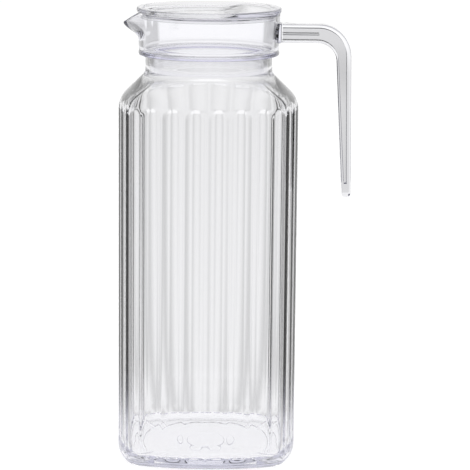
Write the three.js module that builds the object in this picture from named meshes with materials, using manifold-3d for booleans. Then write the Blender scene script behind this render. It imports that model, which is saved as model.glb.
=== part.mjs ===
// Juice carafe: a fluted, rounded-square jug, a collar with spout and handle that plugs into its neck,
// and a lid that drops into the collar. Millimetres, +Z up. The origin is the middle of the underside,
// the handle points to +X and the spout to -X.
import * as THREE from 'three';
import { mergeVertices } from 'three/addons/utils/BufferGeometryUtils.js';
import Module from 'manifold-3d';

const wasm = await Module();
wasm.setup();

// Fits between the pieces
const seatGap = 0.3;          // left between two faces that rest on each other
const plugGap = 0.3;          // left round a plug in its bore
const overrun = 1;            // how far a cutter passes the face it cuts

// Jug body, in plan a square with arched sides and round corners
const bodyHalfWidth = 45;
const faceRadius = 105;
const cornerRadius = 12;
const wallHeight = 174.5;     // from the table to the start of the shoulder
const bodyWall = 2.4;
const floorThickness = 4.6;
const floorFillet = 5;
const footRadius = 3.4;
const shoulderRadius = 12;
const shoulderSlope = Math.PI / 4;
const slopeSquareShare = 0.5; // how square the plan still is halfway up the slope
const neckRadius = 31.6;
const neckHeight = 8.7;
const neckWall = 2;
const mouthChamfer = 0.4;

// Hollow flutes round the wall, which run out at the top where the shoulder's rounding cuts deeper than they do
const fluteCount = 28;
const fluteDepth = 1.1;
const fluteRise = 5.2;        // from the table to the foot of the flutes
const fluteRunOut = 1.2;      // over which a flute deepens from its foot
const innerFluteShare = 0.6;  // how much of the flutes' depth the inside follows
const innerRunOut = 6;        // over which the inside's ripples deepen from the floor's fillet

// Underside
const standWidth = 7;         // standing rim, inside the foot's rounding
const undersideDepth = 0.8;
const centrePadRadius = 12.5;
const notchRadius = 1.8;      // drain notches through the standing rim at the corners
const notchDrop = 0.6;        // their centre line, below the table

// Collar
const collarHeight = 20.7;
const collarFootRadius = 34.7;
const collarRimRadius = 35.4;
const collarWall = 2.1;
const collarFloor = 1.8;
const collarBead = 0.3;       // how far the lower edge stands proud
const collarBeadHeight = 1.6;
const rimChamfer = 0.35;
const plugLength = 8.4;
const plugWall = 1.6;

// Spout, a beak drawn out of the collar's wall
const spoutReach = 7.4;
const spoutHalfWidth = 16.5;
const spoutKeelHeight = 8;    // from the keel's root up to the tip
const spoutRootHeight = 7.5;  // from the collar's lower edge up to the keel's root
const spoutRise = 1.7;        // the channel's bed above the keel
const lipDrop = 5.1;          // from the collar's rim down to the outer lip
const lipSlant = 1.1;         // the lip's inner edge above its outer edge
const lipCurve = 1.35;        // over 1 keeps the lip high near the collar, 1 makes it straight

// Handle, an arm and an open leg of one section
const handleReach = 70.6;     // from the jug's axis to the outside of the leg
const handleWidth = 11;
const armDrop = 5.2;          // from the collar's rim to the top of the arm
const armHeight = 9.1;
const handleOuterBend = 16;
const handleInnerBend = 9.5;
const handleLength = 86.4;    // from the top of the arm to the tip of the leg
const legThickness = 7.2;
const tipThickness = 4.6;
const legLean = 0.9;          // how far the leg's outside leans out by its tip
const tipRadius = 1.8;
const handleEdge = 0.8;
const outerFlange = 2.1;
const innerFlange = 1.1;
const pocketDepth = 3;
const pocketRootInset = 3.2;
const pocketTipInset = 6.5;
const pocketTipRadius = 0.35;
const armRib = 0.9;

// Lid
const lidOverhang = 0.5;
const lidFlange = 2.3;
const lidEdge = 0.7;
const lidPlugDepth = 3;
const lidRimWidth = 2.9;
const lidPanel = 1.5;
const wellDepth = 2.6;
const wellDraft = 1.2;
const shelfDrop = 0.5;        // the thumb shelf, below the lid's top
const shelfStart = 12;        // from the jug's axis towards the handle

// How finely each round is cut
const fluteSteps = 4;
const cavitySteps = 56;
const roundSteps = 64;
const spoutSteps = 20;
const spoutCrowding = 1.4;    // over 1 draws the steps together at the tip
const openSteps = 44;
const bendSteps = 8;
const arcSteps = 3;
const notchSteps = 12;
const sliver = 1e-9;          // a share of a turn too small to count

// Heights that follow
const slopeStartRadius = bodyHalfWidth - shoulderRadius * (1 - Math.cos(shoulderSlope));
const slopeStartHeight = wallHeight + shoulderRadius * Math.sin(shoulderSlope);
const neckFootHeight = slopeStartHeight + (slopeStartRadius - neckRadius) * Math.tan(shoulderSlope);
const mouthHeight = neckFootHeight + neckHeight;
const neckBore = neckRadius - neckWall;
const collarFoot = mouthHeight + seatGap;
const collarFloorTop = collarFoot + collarFloor;
const collarRim = collarFoot + collarHeight;
const collarBore = collarRimRadius - collarWall;
const lidFlangeFoot = collarRim + seatGap;
const lidTop = lidFlangeFoot + lidFlange;

// Centre of the corner arc, which touches both side arcs from within
const faceOffset = faceRadius - bodyHalfWidth;
const cornerReach = faceRadius - cornerRadius;
const cornerCentre = (Math.sqrt(2 * cornerReach ** 2 - faceOffset ** 2) - faceOffset) / 2;
const cornerStart = Math.atan2(cornerCentre, cornerCentre + faceOffset);

// A closed geometry as a solid for cutting and joining
function solid(geometry) {
  geometry.deleteAttribute('normal');
  geometry.deleteAttribute('uv');
  const merged = mergeVertices(geometry);
  const corners = merged.index.array;
  const kept = [];
  for (let i = 0; i < corners.length; i += 3) {
    const [a, b, c] = corners.slice(i, i + 3);
    if (a !== b && b !== c && c !== a) kept.push(a, b, c);
  }
  const vertProperties = new Float32Array(merged.attributes.position.array);
  return new wasm.Manifold(new wasm.Mesh({ numProp: 3, vertProperties, triVerts: new Uint32Array(kept) }));
}

// A lathe's skin whose points are placed by a rule of its own, row by row and angle by angle
function turned(rows, angles, place) {
  const profile = rows.map((row) => new THREE.Vector2(row.radius, row.height));
  const geometry = new THREE.LatheGeometry(profile, angles.length);
  const position = geometry.attributes.position;
  for (let i = 0; i <= angles.length; i++) {
    rows.forEach((row, j) => {
      const spot = place(row, angles[i % angles.length]);
      position.setXYZ(i * rows.length + j, spot.x, spot.y, spot.z);
    });
  }
  return solid(geometry);
}

const evenAngles = (count) => Array.from({ length: count }, (_, i) => (2 * Math.PI * i) / count);
const onCircle = ({ radius, height }, angle) =>
  new THREE.Vector3(radius * Math.cos(angle), radius * Math.sin(angle), height);
const round = (points, count = roundSteps) =>
  turned(points.map(([radius, height]) => ({ radius, height })), evenAngles(count), onCircle);

// Points of an arc from one angle to another, both ends included
function arc(centreRadius, centreHeight, radius, from, to, steps = arcSteps) {
  return Array.from({ length: steps + 1 }, (_, i) => {
    const angle = from + ((to - from) * i) / steps;
    return [centreRadius + radius * Math.cos(angle), centreHeight + radius * Math.sin(angle)];
  });
}

// The body's outline in plan at a share of the way round, with its outward normal
function planAt(share) {
  const quarter = Math.floor(share * 4 + sliver);
  const faceLength = faceRadius * cornerStart;
  const cornerLength = cornerRadius * (Math.PI / 2 - 2 * cornerStart);
  const quarterLength = 2 * faceLength + cornerLength;
  const run = (share * 4 - quarter) * quarterLength;
  let lean = run / faceRadius;
  let centre = [-faceOffset, 0];
  let radius = faceRadius;
  if (run > faceLength + cornerLength) {
    lean = Math.PI / 2 - (quarterLength - run) / faceRadius;
    centre = [0, -faceOffset];
  } else if (run > faceLength) {
    lean = cornerStart + (run - faceLength) / cornerRadius;
    centre = [cornerCentre, cornerCentre];
    radius = cornerRadius;
  }
  const turn = (quarter * Math.PI) / 2;
  const normal = new THREE.Vector2(Math.cos(lean), Math.sin(lean));
  const point = new THREE.Vector2(...centre).addScaledVector(normal, radius);
  const middle = new THREE.Vector2();
  return { point: point.rotateAround(middle, turn), normal: normal.rotateAround(middle, turn) };
}

// 0 on the ridge between two flutes and 1 in the middle of a flute
function hollow(share) {
  const across = share * fluteCount - Math.floor(share * fluteCount + sliver);
  return 1 - (2 * across - 1) ** 2;
}

// A row's radius is the one at the middle of a side. Square 1 is the body's plan, 0 a circle.
// A flute is cut from the outside, and a ripple moves the inside with it.
function bodyPlace({ radius, height, square = 1, flute = 0, ripple = 0 }, angle) {
  const share = angle / (2 * Math.PI);
  const circle = new THREE.Vector2(Math.cos(angle), Math.sin(angle)).multiplyScalar(radius);
  if (radius === 0) return new THREE.Vector3(0, 0, height);
  const { point, normal } = planAt(share);
  const depth = fluteDepth * hollow(share);
  const inset = Math.max(bodyHalfWidth - radius, flute * depth) + ripple * innerFluteShare * depth;
  const spot = circle.lerp(point.addScaledVector(normal, -inset), square);
  return new THREE.Vector3(spot.x, spot.y, height);
}

// Shoulder and neck, offset inwards by a wall; the plan turns round on the way up and ripples fade
function shoulderRows(wall, bore, topHeight, { flute = 0, ripple = 0 }) {
  const rounding = arc(bodyHalfWidth - shoulderRadius, wallHeight, shoulderRadius - wall, 0, shoulderSlope);
  const [startRadius] = rounding[arcSteps];
  const drop = wall / Math.cos(shoulderSlope);
  const footHeight = neckFootHeight + (neckRadius - bore) * Math.tan(shoulderSlope) - drop;
  const middleRadius = (startRadius + bore) / 2;
  const middleHeight = (rounding[arcSteps][1] + footHeight) / 2;
  return [
    ...rounding.map(([radius, height], i) => ({ radius, height, flute, ripple: ripple * (1 - i / arcSteps) })),
    { radius: middleRadius, height: middleHeight, square: slopeSquareShare },
    { radius: bore, height: footHeight, square: 0 },
    { radius: bore, height: topHeight, square: 0 },
  ];
}

function jugBody() {
  const foot = arc(bodyHalfWidth - footRadius, footRadius, footRadius, -Math.PI / 2, 0);
  const outside = [
    { radius: 0, height: 0 },
    ...foot.map(([radius, height]) => ({ radius, height })),
    { radius: bodyHalfWidth, height: fluteRise },
    { radius: bodyHalfWidth, height: fluteRise + fluteRunOut, flute: 1 },
    ...shoulderRows(0, neckRadius, mouthHeight - mouthChamfer, { flute: 1 }),
    { radius: neckRadius - mouthChamfer, height: mouthHeight, square: 0 },
    { radius: 0, height: mouthHeight },
  ];
  const innerHalfWidth = bodyHalfWidth - bodyWall;
  const bed = arc(innerHalfWidth - floorFillet, floorThickness + floorFillet, floorFillet, -Math.PI / 2, 0);
  const cavity = [
    { radius: 0, height: floorThickness },
    ...bed.map(([radius, height]) => ({ radius, height })),
    { radius: innerHalfWidth, height: floorThickness + floorFillet + innerRunOut, ripple: 1 },
    ...shoulderRows(bodyWall, neckBore, mouthHeight + overrun, { ripple: 1 }),
    { radius: 0, height: mouthHeight + overrun },
  ];
  const shell = turned(outside, evenAngles(fluteCount * fluteSteps), bodyPlace)
    .subtract(turned(cavity, evenAngles(cavitySteps), bodyPlace));
  return notched(shell.subtract(undersideGroove()));
}

function undersideGroove() {
  const outerRadius = bodyHalfWidth - footRadius - standWidth;
  return round([
    [centrePadRadius, -overrun],
    [outerRadius, -overrun],
    [outerRadius, undersideDepth],
    [centrePadRadius, undersideDepth],
    [centrePadRadius, -overrun],
  ]);
}

function notched(body) {
  const length = 2 * (bodyHalfWidth + cornerRadius);
  for (const turn of [Math.PI / 4, -Math.PI / 4]) {
    const bar = new THREE.CylinderGeometry(notchRadius, notchRadius, length, notchSteps);
    bar.rotateZ(Math.PI / 2 + turn).translate(0, 0, -notchDrop);
    body = body.subtract(solid(bar).subtract(centreKeep()));
  }
  return body;
}

// What the notch bars leave alone, inside the standing rim
function centreKeep() {
  const reach = bodyHalfWidth - footRadius - standWidth - overrun;
  return round([[0, -notchRadius - overrun], [reach, -notchRadius - overrun], [reach, notchRadius], [0, notchRadius]]);
}

// The spout's plan: how far along its straight edge a direction meets it, 0 at the wall and 1 at the tip
const wallX = Math.sqrt(collarRimRadius ** 2 - spoutHalfWidth ** 2);
const tipX = collarRimRadius + spoutReach;
const spoutAngle = Math.atan2(spoutHalfWidth, wallX);
function spoutEdge(away) {
  if (away >= spoutAngle) return { along: 0, reach: 0 };
  const edgeLean = Math.atan2(spoutHalfWidth, tipX - wallX);
  const distance = (tipX * Math.sin(edgeLean)) / Math.sin(edgeLean + away);
  return { along: 1 - (distance * Math.sin(away)) / spoutHalfWidth, reach: distance - collarRimRadius };
}

const ease = (value) => {
  const share = Math.min(Math.max(value, 0), 1);
  return share * share * (3 - 2 * share);
};

// Rows of the collar's wall slide with the lip, and swell out into the spout
function collarPlace({ radius, height, wall = false, inner = false }, angle) {
  if (!wall) return onCircle({ radius, height }, angle);
  const away = Math.abs(angle - Math.PI);
  const { along, reach } = spoutEdge(away);
  const top = collarRim - along ** lipCurve * (lipDrop - (inner ? lipSlant : 0));
  const riseShare = (height - collarFloorTop) / (collarRim - collarFloorTop);
  const spot = collarFloorTop + riseShare * (top - collarFloorTop);
  const keelRoot = collarFoot + spoutRootHeight + (inner ? spoutRise : 0);
  const swell = ease((spot - keelRoot) / spoutKeelHeight);
  return onCircle({ radius: radius + reach * swell, height: spot }, angle);
}

function collarAngles() {
  const fromSpout = Array.from({ length: spoutSteps + 1 }, (_, i) => (2 * i) / spoutSteps - 1);
  const spread = fromSpout.map((share) => Math.PI + spoutAngle * Math.sign(share) * Math.abs(share) ** spoutCrowding);
  const openTurn = 2 * Math.PI - 2 * spoutAngle;
  const rest = Array.from({ length: openSteps - 1 }, (_, i) =>
    Math.PI + spoutAngle + (openTurn * (i + 1)) / openSteps);
  return [...spread, ...rest].map((angle) => angle % (2 * Math.PI));
}

const wallRiseShares = [0.22, 0.36, 0.46, 0.55, 0.64, 0.74, 0.86];

function collarRing() {
  const plugRadius = neckBore - plugGap;
  const plugFoot = collarFoot - plugLength;
  const wallRise = collarRim - collarFloorTop;
  const lean = (collarRimRadius - collarFootRadius) / collarHeight;
  const outerAt = (height) => collarRimRadius - lean * (collarRim - height);
  const outside = [...wallRiseShares, 1].map((share) => {
    const height = collarFloorTop + wallRise * share;
    return { radius: outerAt(height), height, wall: true };
  });
  const inside = [...wallRiseShares, 1].map((share) => {
    const height = collarFloorTop + wallRise * share;
    return { radius: outerAt(height) - collarWall, height, wall: true, inner: true };
  });
  const bead = collarFootRadius + collarBead;
  const rows = [
    { radius: plugRadius, height: plugFoot },
    { radius: plugRadius, height: collarFoot },
    { radius: bead - rimChamfer, height: collarFoot },
    { radius: bead, height: collarFoot + rimChamfer },
    { radius: bead, height: collarFoot + collarBeadHeight / 2 },
    { radius: outerAt(collarFoot + collarBeadHeight), height: collarFoot + collarBeadHeight },
    ...outside,
    ...inside.reverse(),
    { radius: outerAt(collarFloorTop) - collarWall, height: collarFloorTop },
    { radius: plugRadius - plugWall, height: collarFloorTop },
    { radius: plugRadius - plugWall, height: plugFoot },
    { radius: plugRadius, height: plugFoot },
  ];
  return turned(rows, collarAngles(), collarPlace);
}

// The handle's side outline in X and Z, drawn in by a flange where it bounds a pocket
function handleShape(root, outer, inner, tip, tipRound) {
  const top = collarRim - armDrop;
  const under = top - armHeight;
  const end = top - handleLength + tip;
  const outerX = handleReach - outer;
  const innerX = handleReach - legThickness + inner;
  const tipOuterX = handleReach + legLean - outer;
  const tipInnerX = handleReach + legLean - tipThickness + inner;
  const outerBend = handleOuterBend - outer;
  const innerBend = handleInnerBend + inner;
  const shape = new THREE.Shape();
  shape.moveTo(root, under + inner);
  shape.lineTo(innerX - innerBend, under + inner);
  shape.absarc(innerX - innerBend, under + inner - innerBend, innerBend, Math.PI / 2, 0, true);
  shape.lineTo(tipInnerX, end + tipRound);
  shape.quadraticCurveTo(tipInnerX, end, tipInnerX + tipRound, end);
  shape.lineTo(tipOuterX - tipRound, end);
  shape.quadraticCurveTo(tipOuterX, end, tipOuterX, end + tipRound);
  shape.absarc(outerX - outerBend, top - outer - outerBend, outerBend, 0, Math.PI / 2, false);
  shape.lineTo(root, top - outer);
  return shape;
}

// A side outline pulled out along Y, centred on y
function pulled(shape, width, y, edge) {
  const geometry = new THREE.ExtrudeGeometry(shape, {
    depth: width - 2 * edge, bevelEnabled: edge > 0, bevelSize: edge, bevelThickness: edge,
    bevelOffset: -edge, bevelSegments: 1, curveSegments: bendSteps,
  });
  geometry.translate(0, 0, edge - width / 2).rotateX(Math.PI / 2).translate(0, y, 0);
  return solid(geometry);
}

function handle() {
  const rootRadius = collarRimRadius - collarWall / 2;
  const bar = pulled(handleShape(rootRadius, 0, 0, 0, tipRadius), handleWidth, 0, handleEdge);
  const pocketRoot = collarRimRadius + pocketRootInset;
  const ribHeight = collarRim - armDrop - (armHeight + outerFlange - innerFlange) / 2;
  const ribEnd = handleReach - handleOuterBend;
  let carved = bar;
  for (const side of [1, -1]) {
    const cutDepth = pocketDepth + overrun;
    const y = side * (handleWidth / 2 - pocketDepth + cutDepth / 2);
    const pocket = pulled(handleShape(pocketRoot, outerFlange, innerFlange, pocketTipInset, pocketTipRadius),
      cutDepth, y, 0);
    const rib = new THREE.BoxGeometry(ribEnd - pocketRoot + overrun, cutDepth + overrun, armRib);
    rib.translate((ribEnd + pocketRoot - overrun) / 2, y, ribHeight);
    carved = carved.subtract(pocket.subtract(solid(rib)));
  }
  return carved;
}

function collar() {
  return collarRing().add(handle());
}

function lid() {
  const flangeRadius = collarRimRadius + lidOverhang;
  const plugRadius = collarBore - plugGap;
  const plugFoot = lidFlangeFoot - lidPlugDepth;
  const wellRadius = flangeRadius - lidRimWidth;
  const wellFloor = lidTop - wellDepth;
  const blank = round([
    [0, plugFoot], [plugRadius - rimChamfer, plugFoot], [plugRadius, plugFoot + rimChamfer],
    [plugRadius, lidFlangeFoot], [flangeRadius - rimChamfer, lidFlangeFoot],
    [flangeRadius, lidFlangeFoot + rimChamfer], [flangeRadius, lidTop - lidEdge],
    [flangeRadius - lidEdge, lidTop], [0, lidTop],
  ]);
  const draftPerHeight = wellDraft / wellDepth;
  const well = round([
    [0, wellFloor], [wellRadius - wellDraft, wellFloor],
    [wellRadius + overrun * draftPerHeight, lidTop + overrun], [0, lidTop + overrun],
  ]);
  const shelfTop = lidTop - shelfDrop;
  const underRadius = wellRadius - wellDraft - lidPanel / 2;
  const under = (ceiling) => round([
    [0, plugFoot - overrun], [underRadius, plugFoot - overrun], [underRadius, ceiling], [0, ceiling],
  ]);
  const shelfBlank = sideBlock(shelfStart, wellFloor - overrun, shelfTop);
  const underShelf = sideBlock(shelfStart + lidPanel, plugFoot - 2 * overrun, lidTop);
  return blank
    .subtract(well.subtract(shelfBlank))
    .subtract(under(wellFloor - lidPanel))
    .subtract(under(shelfTop - lidPanel).intersect(underShelf));
}

// A block on the handle's side of a line across the lid
function sideBlock(start, low, high) {
  const reach = 2 * collarRimRadius;
  const block = new THREE.BoxGeometry(reach, 2 * reach, high - low);
  block.translate(start + reach / 2, 0, (low + high) / 2);
  return solid(block);
}

function named(name, piece, colour, roughness) {
  const mesh = piece.getMesh();
  const geometry = new THREE.BufferGeometry();
  geometry.setAttribute('position', new THREE.BufferAttribute(mesh.vertProperties, 3));
  geometry.setIndex(new THREE.BufferAttribute(mesh.triVerts, 1));
  geometry.computeVertexNormals();
  const material = new THREE.MeshStandardMaterial({ color: colour, roughness, metalness: 0 });
  const part = new THREE.Mesh(geometry, material);
  part.name = name;
  console.log(name, mesh.triVerts.length / 3, 'triangles', piece.volume().toFixed(0), 'mm3');
  return part;
}

const carafe = new THREE.Group();
carafe.add(named('jug_body', jugBody(), 0xe4e6ee, 0.05));
carafe.add(named('collar_with_spout_and_handle', collar(), 0xe9ebf2, 0.04));
carafe.add(named('lid', lid(), 0xeceef4, 0.04));

export default carafe;
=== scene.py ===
# %% [markdown]
# # A clear fridge jug in three mouldings
#
# The real object is a slim jug for a fridge door, moulded in clear, hard, glossy plastic. It comes apart
# into three pieces: a fluted body, a collar with a beak spout and an open handle, and a lid. Clear plastic
# shows every facet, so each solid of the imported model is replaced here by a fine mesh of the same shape,
# with small roundings added. The sizes below are in millimetres, as a mould maker writes them, and are
# turned into metres when a mesh is made.

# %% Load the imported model
import math

import bmesh
import bpy
from mathutils import Matrix, Vector


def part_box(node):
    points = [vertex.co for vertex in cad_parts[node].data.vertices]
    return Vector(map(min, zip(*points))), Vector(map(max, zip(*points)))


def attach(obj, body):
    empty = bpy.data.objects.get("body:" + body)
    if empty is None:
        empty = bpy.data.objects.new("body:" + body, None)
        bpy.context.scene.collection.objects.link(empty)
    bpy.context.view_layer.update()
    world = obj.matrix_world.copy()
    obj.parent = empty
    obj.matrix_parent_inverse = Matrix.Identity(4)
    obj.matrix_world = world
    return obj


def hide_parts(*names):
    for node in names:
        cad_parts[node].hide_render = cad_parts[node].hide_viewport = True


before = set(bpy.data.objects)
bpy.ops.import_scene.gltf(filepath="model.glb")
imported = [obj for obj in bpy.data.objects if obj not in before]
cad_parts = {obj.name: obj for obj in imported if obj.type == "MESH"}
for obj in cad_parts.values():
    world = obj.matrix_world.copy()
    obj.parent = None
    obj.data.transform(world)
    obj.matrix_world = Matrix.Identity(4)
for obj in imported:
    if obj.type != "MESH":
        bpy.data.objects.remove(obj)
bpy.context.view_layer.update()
mm = 0.001


def node_box(node):
    """A node's lowest and highest corner, in millimetres."""
    low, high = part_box(node)
    return low / mm, high / mm


jug_low, jug_high = node_box("jug_body")
collar_low, collar_high = node_box("collar_with_spout_and_handle")
lid_low, lid_high = node_box("lid")
print("jug", jug_low, jug_high)
print("collar", collar_low, collar_high)
print("lid", lid_low, lid_high)

# %% [markdown]
# ## Camera
#
# The camera stands about 1.2 m in front of the jug and a little above its rim, and looks slightly down. Its
# place was worked out from the ellipses of the rims and the straight edges of the body. A long lens keeps
# the sides nearly parallel. A camera in Blender looks along its own -Z, so it is first turned up to the
# horizon. Its place is in millimetres, and its dip and roll are in radians.

# %% Camera
camera_place = Vector((13.83, -1181.1, 336.0))
camera_dip = 0.1888
camera_roll = 0.0093
lens_length = 182.64
sensor_width = 36.0

camera_data = bpy.data.cameras.new("photo_camera")
camera_data.sensor_fit = "HORIZONTAL"
camera_data.sensor_width = sensor_width
camera_data.lens = lens_length
camera = bpy.data.objects.new("photo_camera", camera_data)
upright = Matrix.Rotation(math.pi / 2 - camera_dip, 4, "X")
camera.matrix_world = Matrix.Translation(camera_place * mm) @ upright @ Matrix.Rotation(camera_roll, 4, "Z")
scene = bpy.context.scene
scene.collection.objects.link(camera)
scene.camera = camera
scene.view_settings.view_transform = "Standard"
print("camera", camera.matrix_world.translation, "lens", camera_data.lens)

# %% [markdown]
# ## Light paths
#
# Light that enters clear plastic is bent, mirrored inside a wall and bent again, many times over. Blender
# stops following a path after a few such turns and paints it black, so the limits are raised.

# %% Light paths
deepest_path = 24
scene.cycles.max_bounces = deepest_path
scene.cycles.transmission_bounces = deepest_path
scene.cycles.glossy_bounces = deepest_path
print("a path may turn", scene.cycles.max_bounces, "times")

# %% [markdown]
# ## Shader nodes by short calls
#
# A material is a graph of nodes. Two small helpers keep the graphs readable: one adds a node and sets its
# values, the other adds an arithmetic node and joins what it works on. A third clears a graph before use.


# %% Node helpers
def add_node(tree, kind, **values):
    """A new node of a kind, with its properties or input sockets set by name."""
    node = tree.nodes.new(kind)
    for key, value in values.items():
        if hasattr(node, key):
            setattr(node, key, value)
        else:
            node.inputs[key.replace("_", " ")].default_value = value
    return node


def math_node(tree, operation, first, second=None, clamp=False):
    """An arithmetic node's output. Each side is a number or another node's output."""
    node = tree.nodes.new("ShaderNodeMath")
    node.operation = operation
    node.use_clamp = clamp
    for socket, value in zip(node.inputs, (first, second)):
        if isinstance(value, bpy.types.NodeSocket):
            tree.links.new(value, socket)
        elif value is not None:
            socket.default_value = value
    return node.outputs[0]


def empty_tree(owner):
    """The node tree of a material or world, cleared."""
    owner.use_nodes = True
    owner.node_tree.nodes.clear()
    return owner.node_tree


# %% [markdown]
# ## Studio
#
# Clear things are photographed against a bright field. The floor and the world are white for the camera and
# for a plain reflection, and a soft shadow lies on the floor. What draws clear plastic is that its field
# isn't even: light that a flute bends aside finds another level than light that goes straight through. So
# rays that have passed through plastic see these levels, which a plain white field wouldn't have:
#
# - close to the jug the floor is bright, because there the plastic stands on it;
# - further out it is darker, in sectors round the jug that are lightest in their middle;
# - from about 1.6 m out each sector's middle is a bright panel, with a dimmer gap on both sides;
# - the far floor and the foot of the sky are pale again.
#
# The room in front of the field is dim. Light that was mirrored once inside a wall comes out darker, and
# light that was mirrored more often comes out black, which draws the dark lines at the edges.


# %% Rays that the plastic turned
once_level = 0.6
often_level = 0.0


def turned(tree, depth, times):
    """1 for a ray that was turned at least so many times, else 0. The depth is a Light Path output."""
    path = tree.nodes.new("ShaderNodeLightPath")
    return math_node(tree, "GREATER_THAN", path.outputs[depth], times - 0.5)


def through_plastic(tree):
    """1 for a ray that has passed through plastic, else 0."""
    return turned(tree, "Transmission Depth", 1)


def dimming(tree):
    """How much darker the room is for a ray that was mirrored inside plastic, once or more often."""
    first = math_node(tree, "MULTIPLY", turned(tree, "Glossy Depth", 1), 1 - once_level)
    further = math_node(tree, "MULTIPLY", turned(tree, "Glossy Depth", 2), once_level - often_level)
    return math_node(tree, "MULTIPLY", math_node(tree, "ADD", first, further), through_plastic(tree))


def shows_field(tree):
    """1 for rays from the camera, a reflection or clear plastic, else 0."""
    path = tree.nodes.new("ShaderNodeLightPath")
    seen = math_node(tree, "ADD", path.outputs["Is Camera Ray"], path.outputs["Is Glossy Ray"])
    return math_node(tree, "ADD", seen, path.outputs["Is Transmission Ray"], clamp=True)


print("light mirrored once in a wall keeps", once_level, "and more often", often_level)

# %% Sectors round the jug
sector_count = 16


def soft_step(tree, value, start, end):
    """0 below the start and 1 above the end, with a soft step between."""
    step = add_node(tree, "ShaderNodeMapRange", interpolation_type="SMOOTHSTEP", From_Min=start, From_Max=end)
    tree.links.new(value, step.inputs["Value"])
    return step.outputs["Result"]


def blended(tree, first, second, share):
    """A value between two levels, each a number or another node's output."""
    rise = math_node(tree, "MULTIPLY", math_node(tree, "SUBTRACT", second, first), share)
    return math_node(tree, "ADD", first, rise)


def sector_wave(tree, direction):
    """1 in the middle of each sector round the jug and 0 between two sectors."""
    turn = add_node(tree, "ShaderNodeTexGradient", gradient_type="RADIAL")
    tree.links.new(direction, turn.inputs["Vector"])
    angle = math_node(tree, "MULTIPLY", turn.outputs["Fac"], 2 * math.pi * sector_count)
    half_wave = math_node(tree, "MULTIPLY", math_node(tree, "COSINE", angle), 0.5)
    return math_node(tree, "ADD", half_wave, 0.5)


print(sector_count, "sectors round the jug")

# %% World
soft_light = 0.75
horizon_level = 0.9
sky_rise = (0.05, 0.35)

world = bpy.data.worlds.new("studio")
scene.world = world
tree = empty_tree(world)
place = tree.nodes.new("ShaderNodeTexCoord")
height = tree.nodes.new("ShaderNodeSeparateXYZ")
tree.links.new(place.outputs["Generated"], height.inputs[0])
sky_level = blended(tree, horizon_level, 1.0, soft_step(tree, height.outputs["Z"], *sky_rise))
field_level = blended(tree, 1.0, sky_level, through_plastic(tree))
seen = shows_field(tree)
seen_strength = math_node(tree, "MULTIPLY", seen, field_level)
unseen_strength = math_node(tree, "MULTIPLY", math_node(tree, "SUBTRACT", 1.0, seen), soft_light)
background = add_node(tree, "ShaderNodeBackground", Color=(1, 1, 1, 1))
tree.links.new(math_node(tree, "ADD", seen_strength, unseen_strength), background.inputs["Strength"])
output = tree.nodes.new("ShaderNodeOutputWorld")
tree.links.new(background.outputs[0], output.inputs["Surface"])
print("soft light from all round", soft_light)

# %% Floor
floor_size = 12.0
floor_drop = 0.2 * mm

floor_mesh = bpy.data.meshes.new("floor")
corner = floor_size / 2
corners = [(-corner, -corner, 0), (corner, -corner, 0), (corner, corner, 0), (-corner, corner, 0)]
floor_mesh.from_pydata(corners, [], [(0, 1, 2, 3)])
floor = bpy.data.objects.new("floor", floor_mesh)
floor.location.z = -floor_drop
scene.collection.objects.link(floor)
print("floor", floor_size, "m wide")

# %% Levels of the floor, by distance from the jug in metres
near_level = 0.98
near_end = (0.048, 0.066)
table_dark = 0.6
table_light = 0.83
panel_start = (1.55, 2.0)
panel_level = 1.03
panel_share = (0.33, 0.47)
side_level = 0.62
far_side_level = 0.9
panel_end = (2.15, 2.35)
room_start = (0.065, 0.11)
room_end = (2.15, 2.4)

floor_material = bpy.data.materials.new("pale_floor")
tree = empty_tree(floor_material)
place = tree.nodes.new("ShaderNodeTexCoord")
reach = add_node(tree, "ShaderNodeVectorMath", operation="LENGTH")
tree.links.new(place.outputs["Object"], reach.inputs[0])
distance = reach.outputs["Value"]
wave = sector_wave(tree, place.outputs["Object"])
table = blended(tree, table_dark, table_light, wave)
past_room = soft_step(tree, distance, *room_end)
side = blended(tree, side_level, far_side_level, past_room)
panel = blended(tree, side, panel_level, soft_step(tree, wave, *panel_share))
panel = blended(tree, panel, horizon_level, soft_step(tree, distance, *panel_end))
away = soft_step(tree, distance, *near_end)
behind = soft_step(tree, distance, *panel_start)
field = blended(tree, near_level, blended(tree, table, panel, behind), away)
past_foot = soft_step(tree, distance, *room_start)
in_room = math_node(tree, "MULTIPLY", past_foot, math_node(tree, "SUBTRACT", 1.0, past_room))
mirror_fade = math_node(tree, "MULTIPLY", in_room, dimming(tree))
bent_level = blended(tree, 1.0, field, through_plastic(tree))
level = math_node(tree, "MULTIPLY", bent_level, math_node(tree, "SUBTRACT", 1.0, mirror_fade))
print("panels from", panel_start[0], "to", panel_end[1], "m")

# %% Floor material
floor_albedo = 0.42
floor_glow = 0.68

colour = tree.nodes.new("ShaderNodeCombineColor")
for socket in colour.inputs[:3]:
    tree.links.new(level, socket)
matt = tree.nodes.new("ShaderNodeBsdfDiffuse")
scaled = add_node(tree, "ShaderNodeVectorMath", operation="SCALE", Scale=floor_albedo)
tree.links.new(colour.outputs[0], scaled.inputs[0])
tree.links.new(scaled.outputs["Vector"], matt.inputs["Color"])
glow = tree.nodes.new("ShaderNodeEmission")
tree.links.new(colour.outputs[0], glow.inputs["Color"])
tree.links.new(math_node(tree, "MULTIPLY", shows_field(tree), floor_glow), glow.inputs["Strength"])
both = tree.nodes.new("ShaderNodeAddShader")
tree.links.new(matt.outputs[0], both.inputs[0])
tree.links.new(glow.outputs[0], both.inputs[1])
output = tree.nodes.new("ShaderNodeOutputMaterial")
tree.links.new(both.outputs[0], output.inputs["Surface"])
floor_mesh.materials.append(floor_material)
print("floor reflects", floor_albedo, "and glows", floor_glow)


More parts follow.
